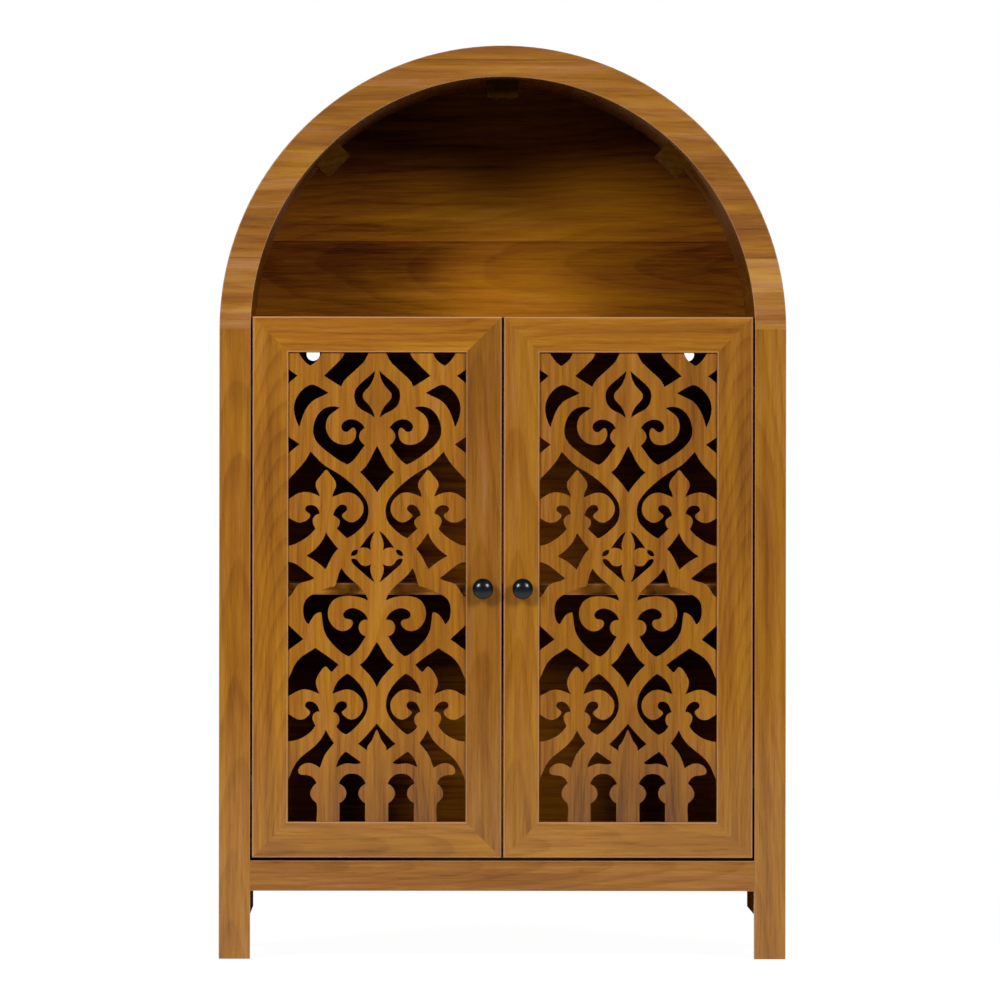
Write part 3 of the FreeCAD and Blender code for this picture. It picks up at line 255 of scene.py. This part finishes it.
# %% [markdown]
# The tone of the wood is one number, the shade. Fibres, bands, pores and rings add to it or take
# from it, and two colour ramps, one golden and one ruddy, turn it into brown. All the noises are
# the same node, stretched along the grain, and a small table gives the length and width of the
# patches of each. Writing them as a table keeps the formula short and the sizes in one place.

# %% Sizes and colours of the figure
FIBRE = {"detail": 3, "length": 0.050, "width": 0.0020, "roughness": 0.7}
THREAD = {"detail": 1, "length": 0.014, "width": 0.0006, "lift": 4.7}
BAND = {"detail": 3, "length": 0.26, "width": 0.013, "lift": 11.9}
PATCH = {"detail": 1, "length": 0.35, "width": 0.09, "lift": 19.0}
RED_STREAK = {"detail": 2, "length": 0.14, "width": 0.011, "lift": 43.0}
LONG_DRIFT = {"detail": 2, "length": 0.30, "width": 0.07}
SHORT_DRIFT = {"detail": 2, "length": 0.06, "width": 0.020, "lift": 7.3}

# Where each colour stands on the scale from the darkest shade, 0, to the lightest, 1
GOLDEN = [(0.12, (102, 59, 2)), (0.92, (198, 145, 56)), (0.34, (139, 85, 6)), (0.52, (160, 103, 14)),
          (0.70, (176, 120, 28))]
RUDDY = [(0.12, (94, 46, 5)), (0.92, (188, 132, 74)), (0.00, (70, 26, 2)), (0.52, (151, 91, 18))]
PORE_BROWN = (84, 48, 14)
# The tan below is the colour of the painted highlight on eased rims.
RIM_HIGHLIGHT_TAN = (206, 160, 118)
# The pale tint below is a painted reflection of the white floor, laid over the front near the floor and full at
# the lowest height.
FLOOR_SHINE_TINT = (221, 196, 150)
FLOOR_SHINE_FROM, FLOOR_SHINE_FULL = 0.32, 0.12
print("fibres are", FIBRE["length"] * 1000, "mm long and", FIBRE["width"] * 1000, "mm wide")

# %% [markdown]
# Some things lie over the figure. Boards that are glued up from narrower ones have a fine dark
# line at each joint, and their fibres slip past each other there. Eased rims catch the lamps, so
# they are painted paler as a highlight, and those rims are found by the way they face: between two
# sides of the board.

# %% Joints and rims
PLANK_SLIP = 0.83
JOINT_WIDTH = 0.0012


def joint_lines(f, along, wide, core, planks):
    """Slips the fibres of each plank past its neighbour's, draws the line between them, and marks
    the lowest plank."""
    if not planks:
        return along, 0.0, 0.0
    first, breadth = planks
    row = (wide + (core - first)) / breadth
    middle = f.add("Math", {"operation": "PINGPONG"}, {0: row, 1: 0.5})
    lowest = row.maths("LESS_THAN", 0.0)
    return along + row.maths("FLOOR") * PLANK_SLIP, f.ramp(middle, 0.0, JOINT_WIDTH / breadth, 1.0, 0.0), lowest


def rim_highlight_share(f, amount):
    """How far a surface faces between two sides of the board."""
    facing = f.parts(f.add("VectorMath", {"operation": "ABSOLUTE"}, {0: f.add("TexCoord", output="Normal")}))
    most = facing[0].maths("MAXIMUM", facing[1]).maths("MAXIMUM", facing[2])
    return f.ramp(most, 0.86, 0.99, amount, 0.0)


# %% [markdown]
# A board can also grow slowly darker over its length, which is most plain on the back of the
# niche. The ends of a board can grow darker from its middle outwards, and so can a range of
# heights, from where the change starts to where it is full. On the back of the niche both are
# painted shade: the shadows that the arch and the sides cast, and the dark inside the cupboard.
# Neither reaches the rear of the board, which has the even finish that a wall would hide.

# %% Slow changes over a board
def slow_darkening(f, from_middle, dark_ends, dark_heights, dark_depth):
    """How much darker a place is than the rest of its board. On the back panel this is painted
    shade; on the fret panels it darkens their foot.
    """
    _, back, height = f.parts(f.add("TexCoord", output="Object"))
    darker = 0.0
    if dark_ends:
        darker = f.ramp(from_middle, 0.03, 0.22) * dark_ends[0]
    for amount, start, full in dark_heights:
        darker = darker + f.ramp(height, start, full) * amount
    if dark_depth is not None:
        darker = darker * f.ramp(back, dark_depth, dark_depth + 0.001, 1.0, 0.0)
    return darker


def hollow_side(f, axis, middle):
    """1 on the inner side of a curved board and 0 on its outer side, by the distance from its axis."""
    sideways, _, height = f.parts(f.add("TexCoord", output="Object"))
    rise = height - axis
    return f.ramp((sideways * sideways + rise * rise).maths("SQRT"), middle - 0.002, middle + 0.002, 1.0, 0.0)


# %% [markdown]
# Now one function can finish every board. It first finds the rings, then the fibres, bands and
# pores, adds them up to the shade, and colours that. Last come the painted highlights on the eased
# rims, and a painted reflection of the white floor that pales the front near the floor. A fine bump
# follows the fibres and pores.

# %% The wood finish
def wood_finish(name, grain, seed, core=0.0, tone=1.0, red=0.5, figure=1.0, log_off=0.03, slant=0.06,
                ring_gap=0.007, contrast=1.0, planks=None, low_plank=0.0, rim_highlight=0.55, face=front_plane,
                milky=0, dark_ends=None, dark_heights=(), dark_depth=None, hollow=None, gloss=0.36,
                sheen=0.29, painted_floor_shine=0.0):
    """A board finish, with its lengths in metres.

    core and log_off say where the log's middle lies, across the grain and behind the face. slant is
    its lean, and face is where the board's visible side lies in depth. planks is the height of a
    joint and the breadth of a plank. dark_ends is how much darker the ends are, as painted shade,
    and where the middle is. hollow is a curved board's axis height, middle radius and inner tone,
    which darkens the inner side as painted shade.
    """
    inward = {"up": face, "across": -face, "back": 0.0}[grain]
    f = Finish(name)
    along, wide, deep = board_places(f, grain, seed, core)
    slipped, joint, lowest = joint_lines(f, along, wide, core, planks)

    def stretched(detail, length, width, roughness=0.55, lift=0.0):
        """Noise whose patches are that long along the grain and that wide across it, around zero."""
        point = f.add("CombineXYZ", None, {"X": slipped / length, "Y": wide / width + lift, "Z": deep / width})
        noise = f.add("TexNoise", None, {"Vector": point, "Scale": 1.0, "Detail": detail, "Roughness": roughness})
        return noise - 0.5

    # Rings: distance from the core of a log that leans towards the face
    patch = stretched(**PATCH)
    drift = wide + stretched(**LONG_DRIFT) * 0.04 + stretched(**SHORT_DRIFT) * 0.007
    depth = deep + along * slant + (log_off - inward - seed * (DEPTH_SHIFT + ALONG_SHIFT * slant))
    radius = (drift * drift + depth * depth).maths("SQRT")
    step = (radius / ring_gap + patch * 3.0).maths("FRACT")
    rings = f.ramp(step, 0.40, 0.92) * f.ramp(step, 0.92, 1.0, 1.0, 0.0)

    # Fibres, pores and slower changes of tone
    fibre = stretched(**FIBRE)
    thread = stretched(**THREAD)
    band = stretched(**BAND)
    pores = f.ramp(thread, 0.17, 0.26)
    shade = (0.52 + band * (0.60 * contrast) + patch * (0.40 * contrast) + fibre * 0.40
             + thread * 0.16 - rings * (0.10 * figure))
    if planks:
        shade = shade - joint * 0.22 + lowest * low_plank
    from_middle = None
    # Painted shade: the ends of the board darken from the middle outwards.
    if dark_ends:
        from_middle = (along + band * 0.25 - (seed * ALONG_SHIFT + dark_ends[1])).maths("ABSOLUTE")
    darker = slow_darkening(f, from_middle, dark_ends, dark_heights, dark_depth)
    shade = shade - darker

    def toned(red_part, green_part, blue_part):
        return tuple(c * tone for c in srgb(red_part, green_part + milky * 0.15, blue_part + milky))

    def browns(stops):
        return f.add("ValToRGB", {"stops": [(place, toned(*colour)) for place, colour in stops]}, {"Fac": shade})

    # Darkened places, which on the back panel are painted shade, also turn redder.
    red_share = f.ramp(stretched(**RED_STREAK), -0.14, 0.16, red - 0.45, red + 0.45) + darker * 1.5
    painted = f.mix(pores * 0.35, f.mix(red_share, browns(GOLDEN), browns(RUDDY)), toned(*PORE_BROWN))
    # Painted highlight: eased rims are painted paler, as the lamps would catch them.
    rim, rim_highlight_colour = rim_highlight_share(f, rim_highlight), toned(*RIM_HIGHLIGHT_TAN)
    # Painted shade: the inner side of the arch is darkened, for the shadow that falls inside the niche.
    if hollow:
        axis, middle_radius, painted_inner_shade = hollow
        inner = hollow_side(f, axis, middle_radius)
        painted = f.mix(inner, painted, (painted_inner_shade, painted_inner_shade, painted_inner_shade), blend="MULTIPLY")
        rim, rim_highlight_colour = rim * inner, tuple(c * painted_inner_shade for c in rim_highlight_colour)
    painted = f.mix(rim, painted, rim_highlight_colour)
    # Painted reflection: near the floor the front is paled towards a light tint, as if it mirrored the white
    # paper.
    if painted_floor_shine:
        height = f.parts(f.add("TexCoord", output="Object"))[2]
        painted = f.mix(f.ramp(height, FLOOR_SHINE_FROM, FLOOR_SHINE_FULL) * (fibre * 0.1 + painted_floor_shine), painted, srgb(*FLOOR_SHINE_TINT))

    relief = fibre * 0.5 + thread * 0.3 - pores * 0.6 - rings * 0.15
    bump = f.add("Bump", None, {"Height": relief, "Strength": 0.14, "Distance": 0.0006})
    f.surface.inputs["Specular IOR Level"].default_value = gloss
    return f.finish(Base_Color=painted, Roughness=sheen + fibre * 0.14 + pores * 0.10, Normal=bump)


# %% [markdown]
# A finish is put on a piece by making it the only material of the piece's mesh. Printing the number
# of its nodes shows at once if a pattern has grown too heavy.

# %% Dressing a piece
def dress(material, *names):
    """Gives pieces a finish."""
    for name in names:
        mesh = pieces[name].data
        mesh.materials.clear()
        mesh.materials.append(material)
        mesh.polygons.foreach_set("material_index", [0] * len(mesh.polygons))
    print(material.name, "with", len(material.node_tree.nodes), "nodes on", ", ".join(names))


# %% [markdown]
# ## Posts, arch and front rail
#
# The posts have upright grain. The arch is cut from three boards glued edge to edge, so its grain
# runs level all the way round, and its finish is a little milkier. The rail under the doors is
# the reddest piece of the front.

# %% Dress the face frame
dress(wood_finish("post_left_wood", "up", 1, core_of("post_left", 0, 0.004), slant=0.07, log_off=0.02,
                  red=0.45, painted_floor_shine=0.07), "post_left")
dress(wood_finish("post_right_wood", "up", 2, core_of("post_right", 0, -0.026), slant=0.05, red=0.40,
                  tone=0.92, painted_floor_shine=0.07), "post_right")
dress(wood_finish("ring_wood", "across", 3, 0.70, log_off=0.10, slant=0.03, contrast=1.5, figure=0.7,
                  planks=(0.742, 0.21), low_plank=0.16, tone=0.93, milky=12), "arch_ring")
dress(wood_finish("front_rail_wood", "across", 4, core_of("front_rail", 2, 0.016), red=0.95, tone=0.93,
                  slant=0.10, milky=8, painted_floor_shine=0.03), "front_rail")

# %% [markdown]
# ## Doors
#
# Each door has two stiles with upright grain and two rails with level grain, cut to meet at 45
# degrees, so the pattern turns a corner at each mitre. The hinge stiles show long nested arches
# and the meeting stiles straighter grain. The pierced panel has upright grain, and its foot is a
# little darker. The boards of the two doors differ in tone, as neighbours do on a real cabinet.

# %% Dress the doors
# Tones of the hinge stile and meeting stile, red of the meeting stile, tones of the rails and panel
DOOR_TONES = {"left": (1.05, 0.80, 0.70, 1.22, 1.00, 1.04), "right": (0.91, 0.94, 0.30, 1.07, 0.96, 0.93)}
for number, side in enumerate(("left", "right")):
    hinge_tone, meeting_tone, meeting_red, top_tone, bottom_tone, fret_tone = DOOR_TONES[side]
    dress(wood_finish(f"hinge_stile_{side}_wood", "up", 5 + number, core_of(f"hinge_stile_{side}", 0, 0.030),
                      slant=0.17, log_off=-0.02, ring_gap=0.0055, red=0.40, rim_highlight=0.6, tone=hinge_tone,
                      painted_floor_shine=0.06), f"hinge_stile_{side}")
    dress(wood_finish(f"meeting_stile_{side}_wood", "up", 7 + number, core_of(f"meeting_stile_{side}", 0, -0.004),
                      slant=0.05, log_off=0.01, red=meeting_red, tone=meeting_tone, rim_highlight=0.6, painted_floor_shine=0.06),
          f"meeting_stile_{side}")
    dress(wood_finish(f"top_rail_{side}_wood", "across", 9 + number, core_of(f"top_rail_{side}", 2, 0.03),
                      red=0.30, tone=top_tone, rim_highlight=0.6), f"top_rail_{side}")
    dress(wood_finish(f"bottom_rail_{side}_wood", "across", 11 + number, core_of(f"bottom_rail_{side}", 2, -0.012),
                      red=0.40, rim_highlight=0.6, tone=bottom_tone, milky=4, painted_floor_shine=0.06), f"bottom_rail_{side}")
    dress(wood_finish(f"fret_{side}_wood", "up", 13 + number, core_of(f"fret_panel_{side}", 0, 0.01),
                      slant=0.04, log_off=0.02, tone=fret_tone, red=0.40, painted_floor_shine=0.06,
                      dark_heights=((0.24, 0.26, 0.14),)), f"fret_panel_{side}")
    dress(wood_finish(f"bead_{side}_wood", "up", 15 + number), f"panel_beads_{side}")

# %% [markdown]
# ## Carcass
#
# The outside of the sides and of the arch is as golden as the front, and the boards inside are
# darker and nearly matt. The sides are made lighter than the front, painted light that makes up for
# the weaker light on them. The arch's boards are both, so their inner side is told from the outer
# one by its distance from the arch's axis, and is darkened as painted shade. The blocks over their
# joints are darkened most, as painted shade.

# %% Dress the sides and the arch
arch_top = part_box("arch_ring")[1]
arch_axis = arch_top.z - arch_top.x
arch_middle = arch_top.x - 0.008
print("the arch's axis is", round(arch_axis, 4), "m up")
# The sides' lighter tone is painted light, making up for the weaker lamp light that reaches them.
dress(wood_finish("side_panel_wood", "up", 17, red=0.30, tone=1.30, planks=(0.0, 0.15)), "side_panel_left",
      "side_panel_right")
dress(wood_finish("liner_wood", "up", 18, tone=0.55, gloss=0.0), "side_liner_left", "side_liner_right")
# Painted shade: the arch's inner side is darkened to 0.60 of its tone.
dress(wood_finish("arch_wood", "back", 19, red=0.6, gloss=0.08, hollow=(arch_axis, arch_middle, 0.60)),
      "arch_segment_1", "arch_segment_2", "arch_segment_3", "arch_segment_4")
# Painted shade: the joint blocks get very dark tones, and the top one, deepest in the arch's shadow, a darker copy
# of the same wood.
dress(wood_finish("block_wood", "back", 20, tone=0.20, red=0.7, gloss=0.04), "joint_block_left",
      "joint_block_right")
dress(wood_finish("top_block_wood", "back", 25, tone=0.16, red=0.7, gloss=0.02), "joint_block_top")

# %% [markdown]
# The back panel is the board that shows most inside: wide boards with level grain, a joint line
# across the niche and nested arches in the middle. Its ends are darker, painted shade where the
# sides keep out one lamp each, and its head under the arch is darker still, a painted shadow of the
# arch. Inside the cupboard it is a little darker again, painted shade behind the doors.

# %% Dress the boards inside
dress(wood_finish("panel_wood", "across", 21, tone=0.60, gloss=0.10), "top_panel", "bottom_panel")
dress(wood_finish("shelf_wood", "across", 22, red=0.7, tone=1.9, milky=16, gloss=0.10), "shelf")
back_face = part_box("back_panel")[0].y
# Amount, start and full height of each darkening. The darker head is a painted shadow of the arch, and the darker
# part inside the cupboard is painted shade.
PAINTED_ARCH_SHADOW = (0.35, 0.80, 0.92)
MIDDLE_BAND = ((0.12, 0.705, 0.745), (-0.12, 0.766, 0.768))
PAINTED_CUPBOARD_SHADE = (0.22, 0.672, 0.655)
dress(wood_finish("back_wood", "across", 23, 0.744, tone=1.12, red=0.40, figure=0.7, log_off=0.05, slant=-0.10,
                  ring_gap=0.009, contrast=0.62, planks=(0.767, 0.24), face=back_face, dark_ends=(0.30, 0.025),
                  dark_heights=(PAINTED_ARCH_SHADOW, *MIDDLE_BAND, PAINTED_CUPBOARD_SHADE), dark_depth=back_face + 0.001,
                  gloss=0.08), "back_panel")
dress(wood_finish("dowel_wood", "across", 24, tone=1.3, figure=0.3), "dowels",
      "mitre_dowels_left", "mitre_dowels_right")


# %% [markdown]
# ## Metal and plastic
#
# The knobs have a dark blued finish that mirrors the two lamps. The hinges and screws are plated
# steel with a slight haze, and the catch is moulded plastic. All of them get a cloudy tint and a
# fine grit, because plating and moulded plastic are never quite even.

# %% Dress the knobs and the hardware
def plated_finish(name, colour, metallic, roughness, haze, scale):
    """A metal or plastic finish with a faint uneven haze."""
    f = Finish(name)
    place = f.add("TexCoord", output="Object")
    cloud = f.add("TexNoise", None, {"Vector": place, "Scale": scale, "Detail": 4.0})
    grit = f.add("TexNoise", None, {"Vector": place, "Scale": scale * 9, "Detail": 2.0})
    tint = f.mix((cloud - 0.35) * haze, colour, srgb(190, 186, 180), blend="MULTIPLY")
    bump = f.add("Bump", None, {"Height": grit, "Strength": 0.05, "Distance": 0.0002})
    f.surface.inputs["Metallic"].default_value = metallic
    return f.finish(Base_Color=tint, Roughness=roughness + (cloud - 0.5) * 0.1, Normal=bump)


dress(plated_finish("knob_blued", srgb(20, 26, 32), 0.4, 0.20, 0.3, 160), "knob_left", "knob_right")
dress(plated_finish("zinc_plate", srgb(196, 196, 194), 1.0, 0.30, 0.5, 90), "hinge_plates", "hinge_arms",
      "hinge_links_left", "hinge_links_right", "hinge_cups_left", "hinge_cups_right", "cam_locks",
      "cam_bolts", "shelf_pins", "strike_plate_left", "strike_plate_right")
dress(plated_finish("screw_steel", srgb(178, 172, 160), 1.0, 0.34, 0.5, 120), "joint_block_screws",
      "back_panel_screws", "hinge_plate_screws", "catch_screw", "knob_screw_left", "knob_screw_right",
      "strike_screw_left", "strike_screw_right", "hinge_cup_screws_left", "hinge_cup_screws_right")
dress(plated_finish("catch_brown", srgb(96, 66, 44), 0.0, 0.5, 0.6, 60), "catch_case")
dress(plated_finish("magnet_grey", srgb(92, 92, 94), 0.8, 0.4, 0.4, 60), "catch_magnets")
print("undressed:", [name for name, piece in pieces.items() if len(piece.data.materials) != 1])

# %% [markdown]
# ## Floor
#
# The cabinet stands on a round of pale paper that runs out of sight on every side, so that it can be
# looked at from all round. The camera sees the paper almost white, with the cabinet's soft shadow on it.
# Only the paper round the feet sends light back to the wood, because further out a studio floor is
# covered with dark cloth to keep a niche as deep as this one.

# %% Make the paper
BRIGHT_RADIUS, DARK_RADIUS = 0.6, 1.8
CLOTH, PAPER = (0.10, 0.10, 0.10), (0.72, 0.72, 0.715)


def studio_paper():
    """Paper that is white to the camera, and bright to the wood only round the cabinet."""
    f = Finish("paper")
    place = f.add("TexCoord", output="Object")
    cloud = f.add("TexNoise", None, {"Vector": place, "Scale": 3.0, "Detail": 2.0})
    away = f.add("VectorMath", {"operation": "LENGTH"}, {0: place}, output="Value")
    near = f.ramp(away, BRIGHT_RADIUS, DARK_RADIUS, 1.0, 0.0)
    f.finish(Base_Color=f.mix(near, CLOTH, PAPER), Roughness=0.9 + (cloud - 0.5) * 0.05)
    path = f.add("LightPath", output="Is Camera Ray").socket.node.outputs
    shiny = Value(f, path["Is Glossy Ray"]) * (near * 0.85 + 0.15)
    seen = Value(f, path["Is Camera Ray"]).maths("MAXIMUM", Value(f, path["Is Transmission Ray"]))
    glow = f.add("Emission", None, {"Color": (1, 1, 1), "Strength": 1.12})
    mixed = f.add("MixShader", None, {0: seen.maths("MAXIMUM", shiny) * (0.90 - near * 0.04),
                                      1: Value(f, f.surface.outputs[0]), 2: glow})
    f.tree.links.new(mixed.socket, f.tree.nodes["Material Output"].inputs["Surface"])
    return f.material


# %% Lay the paper
paper_radius = 14.0
bpy.ops.object.select_all(action="DESELECT")
bpy.ops.mesh.primitive_circle_add(vertices=96, radius=paper_radius, fill_type="NGON", location=(0, 0, 0))
paper = bpy.context.object
paper.name = "paper"
bpy.ops.object.mode_set(mode="EDIT")
bpy.ops.mesh.select_all(action="SELECT")
bpy.ops.mesh.inset(thickness=paper_radius - 2.0)
bpy.ops.object.mode_set(mode="OBJECT")
paper.data.materials.append(studio_paper())
print("paper with", len(paper.data.polygons), "faces")

# %% [markdown]
# ## Lamps and room
#
# Two large soft boxes stand far off at the left and the right, above the camera's height. Each
# throws the arch's shadow on the back of the niche, and where the two shadows cross the niche is
# darkest. Their size sets how soft the rims of those shadows are. A third one, behind the cabinet,
# only shows the back when the camera walks round. It isn't mirrored in the wood, because it would
# bleach the top of the arch. Almost no light comes from the rest of the room, though the camera
# sees it white.

# %% Hang the lamps
LAMP_HEIGHT = 2.35
LAMP_DISTANCE = 5.0
LAMP_SIZE = 1.3


def soft_box(name, azimuth, watts, mirrored=True):
    """A square soft box aimed at the cabinet. Azimuth is in degrees from the camera's side."""
    lamp = bpy.data.lights.new(name, "AREA")
    lamp.shape = "SQUARE"
    lamp.size = LAMP_SIZE
    lamp.energy = watts
    holder = bpy.data.objects.new(name, lamp)
    turn = math.radians(azimuth)
    holder.location = (LAMP_DISTANCE * math.sin(turn), front_plane - LAMP_DISTANCE * math.cos(turn), LAMP_HEIGHT)
    aim = Vector((0, front_plane, 0.5)) - holder.location
    holder.rotation_euler = aim.to_track_quat("-Z", "Y").to_euler()
    holder.visible_glossy = mirrored
    bpy.context.scene.collection.objects.link(holder)
    print(name, "at", [round(c, 2) for c in holder.location])


soft_box("left_box", -30, 166)
soft_box("right_box", 30, 151)
soft_box("back_box", 180, 85, mirrored=False)

# %% [markdown]
# The room is a world shader. It is white for the rays that go straight to the camera or through
# glass, faint for mirrored rays, and nearly black for the rest, so that it sends no flat light into
# the niche.

# %% Paint the room
class Room(Finish):
    """The world round the cabinet, written with the same sums as a finish."""

    def __init__(self, name):
        self.world = bpy.data.worlds.new(name)
        self.world.use_nodes = True
        self.tree = self.world.node_tree


room = Room("room")
path = room.add("LightPath", output="Is Camera Ray").socket.node.outputs
seen = Value(room, path["Is Camera Ray"]).maths("MAXIMUM", Value(room, path["Is Transmission Ray"]))
air = room.tree.nodes["Background"]
air.inputs["Color"].default_value = (1, 1, 1, 1)
room.put(air.inputs["Strength"], seen.maths("MAXIMUM", Value(room, path["Is Glossy Ray"]) * 0.05 + 0.015))
bpy.context.scene.world = room.world
